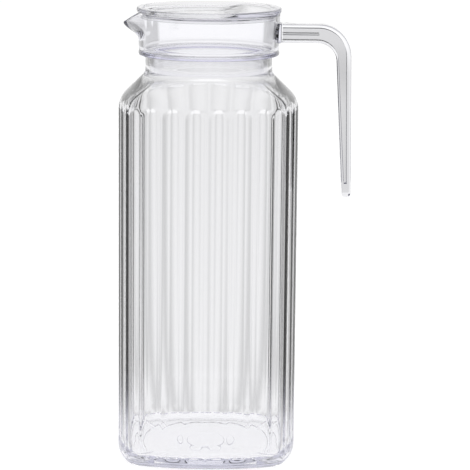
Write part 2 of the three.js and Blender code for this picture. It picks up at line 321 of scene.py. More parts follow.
# %% Soft boxes
def soft_box(name, place, width, power):
    """A large square lamp that faces the jug's middle. Its place and width are in metres."""
    data = bpy.data.lights.new(name, "AREA")
    data.size = width
    data.energy = power
    lamp = bpy.data.objects.new(name, data)
    lamp.location = place
    aim = Vector((0, 0, jug_high.z * mm / 2)) - lamp.location
    lamp.rotation_euler = aim.to_track_quat("-Z", "Y").to_euler()
    lamp.visible_camera = False
    lamp.visible_glossy = False
    lamp.visible_transmission = False
    scene.collection.objects.link(lamp)
    print(name, power, "W")


soft_box("top_box", place=Vector((0.3, -0.4, 2.4)), width=1.6, power=22)
soft_box("left_box", place=Vector((-2.0, -1.0, 1.6)), width=1.0, power=10)

# %% [markdown]
# ## Clear plastic
#
# The jug is a clear styrene plastic. A Principled shader with full transmission gives its surface, and
# Volume Absorption inside the closed mesh tints only the long ways through, so thick sections look faintly
# violet. Styrene bends light by about 1.58. These bends are set against the photo instead: 1.5 for
# the body and the collar, and still weaker ones, which no real plastic has, for the lid and the handle,
# because both are nearly white there, with few dark lines.
# No moulding is perfectly even: the melt flows in from one gate and leaves long faint waves, and handling
# leaves slight haze. A node group makes both, and each material says how high its waves are. A second group
# paints shade into a band of a piece's height: a dark violet line on the collar's lower edge, and grey on
# the arm's web. Lamps can't shine through refracting surfaces, so for their shadow rays the plastic is a pale
# see-through film.

# %% Moulded surface group
haze_scale = 60.0
haze_patches = (0.5, 0.75)

moulded = bpy.data.node_groups.new("moulded_surface", "ShaderNodeTree")
for name, start in (("Wave Scale", 40.0), ("Wave Stretch", 0.15), ("Clear Roughness", 0.01), ("Haze", 0.03)):
    socket = moulded.interface.new_socket(name, in_out="INPUT", socket_type="NodeSocketFloat")
    socket.default_value = start
moulded.interface.new_socket("Height", in_out="OUTPUT", socket_type="NodeSocketFloat")
moulded.interface.new_socket("Roughness", in_out="OUTPUT", socket_type="NodeSocketFloat")
given = moulded.nodes.new("NodeGroupInput")
result = moulded.nodes.new("NodeGroupOutput")
place = moulded.nodes.new("ShaderNodeTexCoord")
stretch = add_node(moulded, "ShaderNodeCombineXYZ", X=1.0, Y=1.0)
moulded.links.new(given.outputs["Wave Stretch"], stretch.inputs["Z"])
flow = add_node(moulded, "ShaderNodeVectorMath", operation="MULTIPLY")
moulded.links.new(place.outputs["Object"], flow.inputs[0])
moulded.links.new(stretch.outputs[0], flow.inputs[1])
waves = add_node(moulded, "ShaderNodeTexNoise", Detail=2.0)
moulded.links.new(flow.outputs["Vector"], waves.inputs["Vector"])
moulded.links.new(given.outputs["Wave Scale"], waves.inputs["Scale"])
moulded.links.new(waves.outputs[0], result.inputs["Height"])
patches = add_node(moulded, "ShaderNodeTexNoise", Scale=haze_scale, Detail=3.0)
moulded.links.new(place.outputs["Object"], patches.inputs["Vector"])
worn = soft_step(moulded, patches.outputs[0], *haze_patches)
haze = math_node(moulded, "MULTIPLY", worn, given.outputs["Haze"])
roughness = math_node(moulded, "ADD", haze, given.outputs["Clear Roughness"])
moulded.links.new(roughness, result.inputs["Roughness"])
print("node group", moulded.name)


# %% Painted shade band group
# Paints shade into a band of a piece's height: there the band's colour, painted shade, covers the wall's
# colour.
painted_shade_band = bpy.data.node_groups.new("painted_shade_band", "ShaderNodeTree")
for name in ("Wall Colour", "Band Colour"):
    painted_shade_band.interface.new_socket(name, in_out="INPUT", socket_type="NodeSocketColor")
for name in ("Band Low", "Band High", "Softness"):
    painted_shade_band.interface.new_socket(name, in_out="INPUT", socket_type="NodeSocketFloat")
painted_shade_band.interface.new_socket("Color", in_out="OUTPUT", socket_type="NodeSocketColor")
given = painted_shade_band.nodes.new("NodeGroupInput")
result = painted_shade_band.nodes.new("NodeGroupOutput")
place = painted_shade_band.nodes.new("ShaderNodeTexCoord")
split = painted_shade_band.nodes.new("ShaderNodeSeparateXYZ")
painted_shade_band.links.new(place.outputs["Object"], split.inputs[0])
above_low = math_node(painted_shade_band, "SUBTRACT", split.outputs["Z"], given.outputs["Band Low"])
below_high = math_node(painted_shade_band, "SUBTRACT", given.outputs["Band High"], split.outputs["Z"])
shares = []
for inside in (above_low, below_high):
    shares.append(math_node(painted_shade_band, "DIVIDE", inside, given.outputs["Softness"], clamp=True))
band = math_node(painted_shade_band, "MULTIPLY", shares[0], shares[1])
mixed = add_node(painted_shade_band, "ShaderNodeMix", data_type="RGBA")
painted_shade_band.links.new(band, mixed.inputs["Factor"])
painted_shade_band.links.new(given.outputs["Wall Colour"], mixed.inputs[6])
painted_shade_band.links.new(given.outputs["Band Colour"], mixed.inputs[7])
painted_shade_band.links.new(mixed.outputs[2], result.inputs["Color"])
print("node group", painted_shade_band.name)

# %% Values of the clear plastic
plastic_bend = 1.5
lid_bend = 1.25
handle_bend = 1.3
wall_violet = 8.0
collar_violet = 30.0
violet = (0.54, 0.54, 0.74, 1)
lamp_film = (0.9, 0.9, 0.92, 1)
body_wave = 0.00004
small_wave = 0.00002
wave_scale = 30.0
haze_amount = 0.02


def clear_plastic(name, tint, wave_height, density=wall_violet, bend=plastic_bend, band=None):
    """A clear moulding. The tint is what a wall lets through, but on the web it is painted grey shade,
    and a band adds painted shade of its own.
    """
    material = bpy.data.materials.new(name)
    tree = empty_tree(material)
    surface = tree.nodes.new("ShaderNodeGroup")
    surface.node_tree = moulded
    surface.inputs["Wave Scale"].default_value = wave_scale
    surface.inputs["Clear Roughness"].default_value = 0.0
    surface.inputs["Haze"].default_value = haze_amount
    bump = add_node(tree, "ShaderNodeBump", Strength=1.0, Distance=wave_height)
    tree.links.new(surface.outputs["Height"], bump.inputs["Height"])
    shader = add_node(tree, "ShaderNodeBsdfPrincipled", Base_Color=tint, IOR=bend, Transmission_Weight=1.0)
    # A band of painted shade takes the place of the plain tint.
    if band:
        band_shade, *ends = band
        colour = tree.nodes.new("ShaderNodeGroup")
        colour.node_tree = painted_shade_band
        colour.inputs["Wall Colour"].default_value = tint
        colour.inputs["Band Colour"].default_value = band_shade
        for socket, value in zip(("Band Low", "Band High", "Softness"), ends):
            colour.inputs[socket].default_value = value * mm
        tree.links.new(colour.outputs["Color"], shader.inputs["Base Color"])
    tree.links.new(surface.outputs["Roughness"], shader.inputs["Roughness"])
    tree.links.new(bump.outputs[0], shader.inputs["Normal"])
    film = add_node(tree, "ShaderNodeBsdfTransparent", Color=lamp_film)
    path = tree.nodes.new("ShaderNodeLightPath")
    choice = tree.nodes.new("ShaderNodeMixShader")
    tree.links.new(path.outputs["Is Shadow Ray"], choice.inputs[0])
    tree.links.new(shader.outputs[0], choice.inputs[1])
    tree.links.new(film.outputs[0], choice.inputs[2])
    inside = add_node(tree, "ShaderNodeVolumeAbsorption", Color=violet, Density=density)
    output = tree.nodes.new("ShaderNodeOutputMaterial")
    tree.links.new(choice.outputs[0], output.inputs["Surface"])
    tree.links.new(inside.outputs[0], output.inputs["Volume"])
    print(name, "bends light by", bend)
    return material


# %% [markdown]
# A band is given as its tint, its lower end, its upper end and the softness of both, in millimetres. The
# violet ring is painted shade on the collar's lowest half millimetre, which shows as a dark violet line. The
# web between the handle's flanges is painted grey shade, most at the arm, for the grey core that the arm
# shows and that the thin clear web doesn't give by itself. A piece without a band has one tint all over, and
# it is set on the shader itself, where the export can read it.

# %% Clear plastic materials
clear_white = (0.985, 0.985, 0.99, 1)
# Painted shade: the collar's lowest half millimetre is tinted as a dark violet line.
ring_painted_shade = (0.78, 0.76, 0.93, 1)
# Painted shade: the handle's clear web is tinted grey, deepest at the arm.
web_painted_shade = (0.88, 0.88, 0.89, 1)
arm_web_painted_shade = (0.66, 0.66, 0.67, 1)
seat_gap = 0.3
ring_foot = jug_high.z + seat_gap
ring_height = 0.5
ring_softness = 0.15
arm_band_low = collar_high.z - 45
arm_band_high = collar_high.z + 25
arm_softness = 25

# Bands of painted shade: a dark violet line on the collar, and grey on the arm's web.
ring_shade_band = (ring_painted_shade, ring_foot, ring_foot + ring_height, ring_softness)
arm_shade_band = (arm_web_painted_shade, arm_band_low, arm_band_high, arm_softness)
body_plastic = clear_plastic("clear_body_plastic", clear_white, body_wave)
# The collar's plastic carries the painted violet shade line at its foot.
collar_plastic = clear_plastic("clear_collar_plastic", clear_white, small_wave, collar_violet, band=ring_shade_band)
lid_plastic = clear_plastic("clear_lid_plastic", clear_white, small_wave, bend=lid_bend)
handle_plastic = clear_plastic("clear_handle_plastic", clear_white, small_wave, bend=handle_bend)
# The web's plastic is painted grey shade.
web_painted_shade_plastic = clear_plastic("clear_web_painted_shade_plastic", web_painted_shade, small_wave, band=arm_shade_band)

# %% [markdown]
# ## Skins from rows of points
#
# Each moulding is a closed skin. It is described by rows that run round the axis, as a potter's profile is,
# and each row has the same number of points, so neighbours join with four-sided faces. A row of one point
# closes an end. This gives even faces that follow the flutes, which a remesh or a Boolean of flat solids
# wouldn't.


# %% Profile helpers
def arc(centre_radius, centre_height, radius, start, end, steps):
    """Points of an arc as (radius, height), both ends included. The angles are in degrees."""
    points = []
    for step in range(steps + 1):
        angle = math.radians(start + (end - start) * step / steps)
        points.append((centre_radius + radius * math.cos(angle), centre_height + radius * math.sin(angle)))
    return points


def ease(value):
    """0 below 0 and 1 above 1, with a soft step between."""
    share = min(max(value, 0.0), 1.0)
    return share * share * (3 - 2 * share)


def blend(first, second, share):
    """The value a share of the way from the first to the second."""
    return first + (second - first) * share


support_width = 0.25
most_support = 0.3


def supported(points, closed=False, least=4 * support_width):
    """The points, with two more near the ends of each straight stretch, so that its shading stays flat."""
    points = [Vector(point) for point in points]
    result = []
    for point, after in zip(points, points[1:] + points[:1]):
        result.append(point)
        length = (after - point).length
        if length > least and (closed or point is not points[-1]):
            near = min(support_width / length, most_support)
            result += [point.lerp(after, near), after.lerp(point, near)]
    return result


print("straight stretches are supported", support_width, "mm from their ends")


# %% Skin helpers
def solid_object(name, vertices, faces):
    """An object whose faces all point out."""
    mesh = bpy.data.meshes.new(name)
    mesh.from_pydata(vertices, [], faces)
    skin = bmesh.new()
    skin.from_mesh(mesh)
    bmesh.ops.recalc_face_normals(skin, faces=skin.faces)
    skin.to_mesh(mesh)
    skin.free()
    piece = bpy.data.objects.new(name, mesh)
    scene.collection.objects.link(piece)
    return piece


def skin_object(name, rows, closes_on_itself=False):
    """An object from rows of points in millimetres. A row may be a single point."""
    vertices, starts = [], []
    for row in rows:
        starts.append(len(vertices))
        vertices.extend(point * mm for point in row)
    faces = []
    pairs = list(zip(range(len(rows)), range(1, len(rows))))
    if closes_on_itself:
        pairs.append((len(rows) - 1, 0))
    for low, high in pairs:
        count = max(len(rows[low]), len(rows[high]))
        for column in range(count):
            following = (column + 1) % count
            a, b = starts[low], starts[high]
            if len(rows[low]) == 1:
                faces.append((a, b + following, b + column))
            elif len(rows[high]) == 1:
                faces.append((a + column, a + following, b))
            else:
                faces.append((a + column, a + following, b + following, b + column))
    return solid_object(name, vertices, faces)


crease_angle = math.radians(32)


def finish_skin(piece, material):
    """Shaded smooth except at real edges, and given its plastic."""
    piece.data.shade_smooth()
    piece.data.set_sharp_from_angle(angle=crease_angle)
    piece.data.materials.clear()
    piece.data.materials.append(material)
    print(piece.name, len(piece.data.polygons), "faces")


# %% [markdown]
# ## Jug body
#
# In plan the body is a square with gently arched sides and round corners. Twenty-eight hollow flutes run up
# its wall and meet in ridges. They run out by themselves where the shoulder's rounding cuts deeper than they
# do, which gives each a round top. Above the shoulder the plan turns into a circle. The plan is worked out
# once for each column, and each row then says how far in it lies, how square it still is and whether it has
# flutes. The inside has flutes behind the outer ones, but shallower.

# %% Plan of the body
half_width = jug_high.y
face_radius = 105.0
corner_radius = 12.0
flute_count = 28
columns_per_flute = 16
flute_depth = 1.1
inner_flute_share = 0.6
ridge_rounding_share = 0.1

column_count = flute_count * columns_per_flute
face_offset = face_radius - half_width
corner_reach = face_radius - corner_radius
corner_centre = (math.sqrt(2 * corner_reach**2 - face_offset**2) - face_offset) / 2
corner_start = math.atan2(corner_centre, corner_centre + face_offset)
face_length = face_radius * corner_start
corner_length = corner_radius * (math.pi / 2 - 2 * corner_start)
quarter_length = 2 * face_length + corner_length


def plan_at(column):
    """The plan's point at a column, and the outward direction there."""
    quarter = 4 * column // column_count
    run = (4 * column / column_count - quarter) * quarter_length
    if run > face_length + corner_length:
        lean = math.pi / 2 - (quarter_length - run) / face_radius
        centre, radius = (0, -face_offset), face_radius
    elif run > face_length:
        lean = corner_start + (run - face_length) / corner_radius
        centre, radius = (corner_centre, corner_centre), corner_radius
    else:
        lean = run / face_radius
        centre, radius = (-face_offset, 0), face_radius
    out = Vector((math.cos(lean), math.sin(lean)))
    turn = Matrix.Rotation(quarter * math.pi / 2, 2)
    return turn @ (Vector(centre) + out * radius), turn @ out


def flute_share(column):
    """0 on a ridge and 1 in the middle of a flute, with the ridge slightly rounded."""
    across = abs(2 * (column % columns_per_flute) / columns_per_flute - 1)
    start = 1 - ridge_rounding_share
    if across <= start:
        return 1 - across**2 / start
    past = across - start
    return 1 - (start**2 + 2 * start * (past - past**2 / (2 * ridge_rounding_share))) / start


columns = []
for column in range(column_count):
    point, out = plan_at(column)
    turn = 2 * math.pi * column / column_count
    columns.append((point, out, Vector((math.cos(turn), math.sin(turn))), flute_share(column)))
print(column_count, "columns, one flute is", round(4 * quarter_length / flute_count, 2), "mm wide")


# %% A row of the body
body_wall = 2.4
run_out_rounding = 0.5
run_out_steps = 8
trace = 0.001


def soft_max(first, second, rounding):
    """The larger of two values, with the change from one to the other rounded."""
    near = max(rounding - abs(first - second), 0) / rounding
    return max(first, second) + near * near * rounding / 4


def held(start, end, middle_steps=1):
    """Shares of a straight stretch with a row close to each end, so that its shading stays straight."""
    close = support_width / abs(end - start)
    return [close, *(step / (middle_steps + 1) for step in range(1, middle_steps + 1)), 1 - close]


def body_row(radius, height, square=1.0, flute=0.0, ripple=0.0):
    """Points round the body. The radius is at the middle of a side, and a ripple is a flute of the inside."""
    if radius == 0:
        return [Vector((0, 0, height))]
    row = []
    for point, out, round_way, hollow in columns:
        inset = half_width - radius
        if flute > 0:
            inset = soft_max(inset, flute * flute_depth * hollow, run_out_rounding)
        if ripple > 0:
            shallow = body_wall + ripple * inner_flute_share * flute_depth * hollow
            inset = soft_max(inset, shallow, run_out_rounding)
        flat = (round_way * radius).lerp(point - out * inset, square)
        row.append(Vector((flat.x, flat.y, height)))
    return row


def fade(step):
    """A flute's share of its depth at a step of its run-out. A trace is kept, so that its rounding stays."""
    return max(ease(step / run_out_steps), trace)


print("wall", body_wall, "mm")

# %% [markdown]
# The underside stands on a rim and on a pad in its middle, with a shallow ring between. Four small drain
# notches cross the rim at the corners. A notch is a groove of round section, so the rim's points near a
# diagonal are lifted to it.

# %% Underside
foot_radius = 3.4
stand_width = 7.0
underside_depth = 0.8
centre_pad_radius = 12.5
step_rounding = 0.3
notch_radius = 1.8
notch_drop = 0.6


def notched(row):
    """A row whose points near a diagonal are lifted to the drain notch."""
    lifted = []
    for point in row:
        aside = (abs(point.x) - abs(point.y)) / math.sqrt(2)
        rise = math.sqrt(max(notch_radius**2 - aside**2, 0)) - notch_drop
        lifted.append(Vector((point.x, point.y, max(point.z, rise))))
    return lifted


def underside_rows():
    """Rows from the middle of the underside out to the foot's rounding."""
    stand_end = half_width - foot_radius
    ring_radius = stand_end - stand_width
    high = underside_depth
    r = step_rounding
    profile = [(0, 0)] + arc(centre_pad_radius - r, r, r, -90, 0, 3)
    profile += arc(centre_pad_radius + r, high - r, r, 180, 90, 3)
    profile += arc(ring_radius - r, high - r, r, 90, 0, 3)
    profile += arc(ring_radius + r, r, r, 180, 270, 3)
    rows = [body_row(radius, height, 0) for radius, height in supported(profile)]
    for share in held(ring_radius + r, stand_end, 5):
        rows.append(notched(body_row(blend(ring_radius + r, stand_end, share), 0, share)))
    return rows


print("standing rim", stand_width, "mm wide")

# %% [markdown]
# The outside goes up from the foot's rounding, over the shoulder and its slope, to the neck's mouth. The
# flutes fade in just above the foot and out at the shoulder.

# %% Outside of the body
wall_height = 174.5
shoulder_radius = 12.0
shoulder_slope = 45
shoulder_steps = 20
slope_steps = 14
neck_radius = 31.6
neck_wall = 2.0
neck_fillet = 5.0
mouth_rounding = 0.4
flute_rise = 5.2
flute_run_out = 1.2

mouth = jug_high.z
slope_angle = math.radians(shoulder_slope)
neck_tangent = math.tan(slope_angle / 2)


def neck_foot_height():
    """Where the slope would meet the neck without a fillet."""
    start_radius = half_width - shoulder_radius * (1 - math.cos(slope_angle))
    start_height = wall_height + shoulder_radius * math.sin(slope_angle)
    return start_height + (start_radius - neck_radius) * math.tan(slope_angle)


def slope_points(start, end):
    """Points between two ends of a slope, each with its share of the way."""
    points = []
    for step in range(1, slope_steps):
        share = step / slope_steps
        points.append((blend(start[0], end[0], share), blend(start[1], end[1], share), share))
    return points


def outside_rows():
    """Rows from the foot's rounding up to the mouth's outer edge."""
    rows = []
    for radius, height in arc(half_width - foot_radius, foot_radius, foot_radius, -90, 0, 8):
        rows.append(notched(body_row(radius, height)))
    for step in range(run_out_steps + 1):
        height = flute_rise + flute_run_out * step / run_out_steps
        rows.append(body_row(half_width, height, 1, fade(step)))
    low = flute_rise + flute_run_out
    for share in held(low, wall_height) + [1]:
        rows.append(body_row(half_width, blend(low, wall_height, share), 1, 1))
    centre = half_width - shoulder_radius
    shoulder = arc(centre, wall_height, shoulder_radius, 0, shoulder_slope, shoulder_steps)
    rows += [body_row(radius, height, 1, 1) for radius, height in shoulder[1:]]
    foot = neck_foot_height()
    tangent = neck_fillet * neck_tangent
    slope_end = (neck_radius + tangent * math.cos(slope_angle), foot - tangent * math.sin(slope_angle))
    for radius, height, share in slope_points(shoulder[-1], slope_end):
        rows.append(body_row(radius, height, 1 - ease(share)))
    fillet = arc(neck_radius + neck_fillet, foot + tangent, neck_fillet, 180 + shoulder_slope, 180, 8)
    rim = arc(neck_radius - mouth_rounding, mouth - mouth_rounding, mouth_rounding, 0, 90, 4)
    return rows + [body_row(radius, height, 0) for radius, height in supported(fillet + rim)]


print("neck foot at", round(neck_foot_height(), 2), "mouth at", round(mouth, 2))

# %% [markdown]
# The inside follows the outside at the wall's thickness, with two small changes that the eye needs. Its
# shoulder has the same rounding as the outer one, moved in by the wall. Two roundings about one centre would
# act as a lens and throw bright arches on the tops of the flutes. And its corner under the neck lies a
# little higher, because light that comes in through the neck's upright inner wall would else be caught
# under the sloping outside and leave dark spots.

# %% Inside of the body
floor_thickness = 4.6
floor_fillet = 3.5
inner_run_out = 4.0
inner_neck_fillet = 7.0
inner_corner_rise = 0.6
floor_ring_shares = (0.75, 0.5, 0.25)


def inside_rows():
    """Rows from the mouth's inner edge down to the middle of the floor."""
    bore = neck_radius - neck_wall
    foot = neck_foot_height() + inner_corner_rise
    rim = arc(bore + mouth_rounding, mouth - mouth_rounding, mouth_rounding, 90, 180, 4)
    drop = inner_neck_fillet * neck_tangent
    turn_in = arc(bore + inner_neck_fillet, foot + drop, inner_neck_fillet, 180, 180 + shoulder_slope, 10)
    rows = [body_row(radius, height, 0) for radius, height in supported(rim + turn_in)]
    centre = half_width - body_wall - shoulder_radius
    shoulder = arc(centre, wall_height, shoulder_radius, shoulder_slope, 0, shoulder_steps)
    for radius, height, share in slope_points(turn_in[-1], shoulder[0]):
        rows.append(body_row(radius, height, ease(share)))
    inner = half_width - body_wall
    bed = arc(inner - floor_fillet, floor_thickness + floor_fillet, floor_fillet, 0, -90, 8)
    rows += [body_row(radius, height, 1, 0, 1) for radius, height in shoulder]
    bed_top = bed[0][1]
    ripple_foot = bed_top + inner_run_out
    for share in held(wall_height, ripple_foot) + [1]:
        rows.append(body_row(inner, blend(wall_height, ripple_foot, share), 1, 0, 1))
    for step in range(1, run_out_steps + 1):
        height = blend(ripple_foot, bed_top, step / run_out_steps)
        rows.append(body_row(inner, height, 1, 0, fade(run_out_steps - step)))
    rows += [body_row(radius, height, 1, 0, trace) for radius, height in bed[1:]]
    edge = body_row(inner - floor_fillet - support_width, floor_thickness)
    rows.append(edge)
    for share in floor_ring_shares:
        rows.append([Vector((point.x * share, point.y * share, floor_thickness)) for point in edge])
    return rows + [body_row(0, floor_thickness)]


# %% Make the jug body
jug = skin_object("clear_jug_body", underside_rows() + outside_rows() + inside_rows())
finish_skin(jug, body_plastic)
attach(jug, "jug")
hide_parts("jug_body")

# %% [markdown]
# ## Collar
#
# The collar is a tube with an inward floor ring and a plug skirt below it, so its profile is a closed loop.
# On the spout's side the wall is drawn out to a beak: in plan two straight edges that meet in a slightly
# rounded tip, in height a lip that dips towards the tip and a keel that rises to it.

# %% Collar sizes
plug_gap = 0.3
collar_foot = mouth + seat_gap
collar_rim = collar_high.z
collar_foot_radius = 34.7
collar_rim_radius = 35.4
collar_wall = 2.1
collar_floor = 1.8
collar_bead = 0.3
collar_bead_height = 1.6
plug_length = 8.4
plug_wall = 1.6
edge_rounding = 0.35
rim_rounding = 0.6
inner_fillet = 0.5

spout_half_width = 16.5
spout_keel_height = 8.0
spout_root_height = 7.5
spout_rise = 1.7
lip_drop = 5.1
lip_slant = 1.1
lip_curve = 1.35
tip_softness = 0.01

plug_radius = neck_radius - neck_wall - plug_gap
plug_foot = collar_foot - plug_length
collar_floor_top = collar_foot + collar_floor
tip_reach = -collar_low.x
spout_root_x = math.sqrt(collar_rim_radius**2 - spout_half_width**2)
spout_angle = math.atan2(spout_half_width, spout_root_x)
edge_lean = math.atan2(spout_half_width, tip_reach - spout_root_x)
print("spout reaches", round(tip_reach, 2), "collar rim at", round(collar_rim, 2))


# %% Collar wall
def spout_edge(angle):
    """How far along the spout's edge a direction lies, 0 at the wall and 1 at the tip, and its reach."""
    away = abs(angle - math.pi)
    if away >= spout_angle:
        return 0.0, 0.0
    away = math.hypot(away, tip_softness)
    distance = tip_reach * math.sin(edge_lean) / math.sin(edge_lean + away)
    along = 1 - distance * math.sin(away) / spout_half_width
    return max(along, 0), max(distance - collar_rim_radius, 0)


def wall_point(angle, rise_share, depth_share, drop=0.0):
    """A point of the wall. Depth is 0 outside and 1 inside, and the drop is taken off at the top."""
    along, reach = spout_edge(angle)
    top = collar_rim - along**lip_curve * blend(lip_drop, lip_drop - lip_slant, depth_share)
    level = blend(collar_floor_top, collar_rim, rise_share)
    height = blend(collar_floor_top, top, rise_share) - drop
    lean = (collar_rim_radius - collar_foot_radius) / (collar_rim - collar_foot)
    radius = collar_rim_radius - lean * (collar_rim - level) - depth_share * collar_wall
    keel_root = collar_foot + spout_root_height + depth_share * spout_rise
    radius += reach * ease((height - keel_root) / spout_keel_height)
    return Vector((radius * math.cos(angle), radius * math.sin(angle), height))


# %% Directions round the collar, closer together towards the spout's tip
spout_steps = 48
open_steps = 176
tip_crowding = 1.4

collar_angles = []
for step in range(spout_steps + 1):
    share = 2 * step / spout_steps - 1
    collar_angles.append(math.pi + spout_angle * math.copysign(abs(share) ** tip_crowding, share))
open_turn = 2 * math.pi - 2 * spout_angle
for step in range(1, open_steps):
    collar_angles.append(math.pi + spout_angle + open_turn * step / open_steps)
collar_angles = [angle % (2 * math.pi) for angle in collar_angles]
print(len(collar_angles), "directions round the collar")

# %% Collar rows
wall_steps = 24
wall_start = 0.06
wall_span = 0.9
inner_wall_start = 0.08
rim_steps = 6


def collar_rows():
    """Rows of the collar's closed profile, up its outside and down its inside."""
    def ring(points):
        rows = []
        for radius, height in supported(points):
            rows.append([Vector((radius * math.cos(a), radius * math.sin(a), height)) for a in collar_angles])
        return rows

    def wall(shares, depth_share):
        return [[wall_point(angle, share, depth_share) for angle in collar_angles] for share in shares]

    r = edge_rounding
    bead = collar_foot_radius + collar_bead
    plug_bore = plug_radius - plug_wall
    floor_radius = bead - collar_wall
    outside = arc(plug_radius - r, plug_foot + r, r, -90, 0, 3)
    outside += arc(plug_radius + r, collar_foot - r, r, 180, 90, 3)
    outside += arc(bead - r, collar_foot + r, r, -90, 0, 3)
    outside += arc(bead - r, collar_foot + collar_bead_height - r, r, 0, 60, 3)
    rises = [wall_start + wall_span * step / wall_steps for step in range(wall_steps + 1)]
    rim = []
    rim_share = rim_rounding / collar_wall
    for step in range(rim_steps + 1):
        if step == rim_steps / 2:
            continue
        angle = math.radians(180 - 180 * step / rim_steps)
        middle = rim_share if step < rim_steps / 2 else 1 - rim_share
        depth = middle + rim_share * math.cos(angle)
        drop = rim_rounding * (1 - math.sin(angle))
        rim.append([wall_point(a, 1.0, depth, drop) for a in collar_angles])
    inside = arc(floor_radius - inner_fillet, collar_floor_top + inner_fillet, inner_fillet, 0, -90, 5)
    inside += arc(plug_bore + r, collar_floor_top - r, r, 90, 180, 3)
    inside += arc(plug_bore + r, plug_foot + r, r, 180, 270, 3)
    falls = [share for share in reversed(rises) if share > inner_wall_start]
    return ring(outside) + wall(rises, 0) + rim + wall(falls, 1) + ring(inside)


collar = skin_object("clear_collar", collar_rows(), closes_on_itself=True)
print("collar wall", len(collar.data.polygons), "faces")

# %% [markdown]
# ## Handle
#
# The handle is moulded in one with the collar: a level arm, a bend and an open leg that thins to its tip.
# Its sides are cored out between an outer and an inner flange, so a hand feels a smooth back and the
# moulding cools evenly. The outer and inner outlines are paired point by point, and a section is swept
# between them. The bar is made first, and the two cores are cut from it with a Boolean. The cores have
# fewer steps in the bend than the bar: where both had a section at one place, the Boolean left gaps.

# %% Handle sizes
handle_reach = 70.6
handle_width = 11.0
arm_drop = 5.2
arm_height = 9.1
outer_bend = 16.0
inner_bend = 9.5
handle_length = 86.4
leg_thickness = 7.2
tip_thickness = 4.6
leg_lean = collar_high.x - handle_reach
tip_radius = 1.8
tip_narrowing = 0.6
handle_edge = 0.5
outer_flange = 2.1
inner_flange = 1.1
pocket_depth = 3.0
pocket_root_inset = 1.0
pocket_tip_inset = 6.5
pocket_tip_radius = 0.35
arm_rib = 0.9
root_depth_share = 0.65
root_flare = 0.3
root_flare_length = 0.8
arm_shares = (0, 0.04, 0.08, 0.12, 0.3, 0.5, 0.7, 0.85)
leg_shares = (0.15, 0.35, 0.55, 0.75, 0.9)
bar_bend_steps = 20
core_bend_steps = 17
tip_steps = 6

handle_half = handle_width / 2
web_side = handle_half - pocket_depth
pocket_root = collar_rim_radius + pocket_root_inset
print("handle", handle_length, "mm long")


# %% Outline of the handle
def paired_outline(root, outer, inner, tip, tip_round, bend_steps):
    """Points of the outer and inner outline in X and Z, in pairs from the root to the tip."""
    top = collar_rim - arm_drop
    under = top - arm_height
    end = top - handle_length + tip
    out_x, in_x = handle_reach - outer, handle_reach - leg_thickness + inner
    tip_x = handle_reach + leg_lean
    tip_out_x, tip_in_x = tip_x - outer, tip_x - tip_thickness + inner
    out_bend, in_bend = outer_bend - outer, inner_bend + inner
    out_centre = (out_x - out_bend, top - outer - out_bend)
    in_centre = (in_x - in_bend, under + inner - in_bend)
    pairs = []
    for share in arm_shares:
        a = (blend(root, out_centre[0], share), top - outer)
        b = (blend(root, in_centre[0], share), under + inner)
        pairs.append((a, b))
    outer_arc = arc(*out_centre, out_bend, 90, 0, bend_steps)
    inner_arc = arc(*in_centre, in_bend, 90, 0, bend_steps)
    pairs.extend(zip(outer_arc, inner_arc))
    straight = end + tip_round
    for share in leg_shares:
        a = (blend(out_x, tip_out_x, share), blend(out_centre[1], straight, share))
        b = (blend(in_x, tip_in_x, share), blend(in_centre[1], straight, share))
        pairs.append((a, b))
    for step in range(tip_steps + 1):
        angle = math.radians(90 * step / tip_steps)
        inwards = tip_round * (1 - math.cos(angle))
        height = straight - tip_round * math.sin(angle)
        pairs.append(((tip_out_x - inwards, height), (tip_in_x + inwards, height)))
    return pairs


def swept(name, sections):
    """A bar through sections, closed at both ends by a point in their middle."""
    ends = [sum(section, Vector()) / len(section) for section in (sections[0], sections[-1])]
    return skin_object(name, [[ends[0]], *sections, [ends[1]]])


# %% Handle bar
edge_steps = 4
least_core = 2.2


def bar_section(outer_point, inner_point, half, rounding, grow=0.0):
    """A closed section between two paired points, with rounded edges."""
    a, b = Vector((outer_point[0], 0, outer_point[1])), Vector((inner_point[0], 0, inner_point[1]))
    thickness = (b - a).length
    way = (b - a) / thickness
    a, half = a - way * grow, half + grow
    thickness += 2 * grow
    r = min(rounding, thickness / least_core)
    corners = ((1, r, 90), (1, thickness - r, 0), (-1, thickness - r, -90), (-1, r, 180))
    section = []
    for side, middle, start in corners:
        for step in range(edge_steps + 1):
            angle = math.radians(start - 90 * step / edge_steps)
            y = side * (half - r) + r * math.cos(angle)
            depth = middle - r * math.sin(angle)
            section.append(a + way * depth + Vector((0, y, 0)))
    return supported(section, closed=True, least=0.01)


def handle_bar():
    """The handle without its cores, flared where it meets the collar."""
    root = collar_rim_radius - collar_wall * root_depth_share
    leg_end = collar_rim - arm_drop - handle_length
    sections = []
    for outer_point, inner_point in paired_outline(root, 0, 0, 0, tip_radius, bar_bend_steps):
        past = max(root_flare_length - (outer_point[0] - collar_rim_radius), 0) / root_flare_length
        grow = root_flare * min(past, 1) ** 2
        half = handle_half
        below = inner_point[1] - leg_end
        if below < tip_radius:
            rounding = 1 - math.sqrt(1 - (1 - below / tip_radius) ** 2)
            half -= tip_radius * rounding * tip_narrowing
        sections.append(bar_section(outer_point, inner_point, half, handle_edge, grow))
    return swept("handle_bar", sections)


bar = handle_bar()

# %% Cores of the handle
cut_past = 1.0


def core_cutter(side):
    """A cutter for the core in one side of the handle, between its two flanges."""
    near, far = web_side, handle_half + cut_past
    outline = paired_outline(
        pocket_root, outer_flange, inner_flange, pocket_tip_inset, pocket_tip_radius, core_bend_steps
    )
    sections = []
    for a, b in outline:
        corners = ((a, near), (a, far), (b, far), (b, near))
        sections.append([Vector((point[0], side * y, point[1])) for point, y in corners])
    return swept("core", sections)


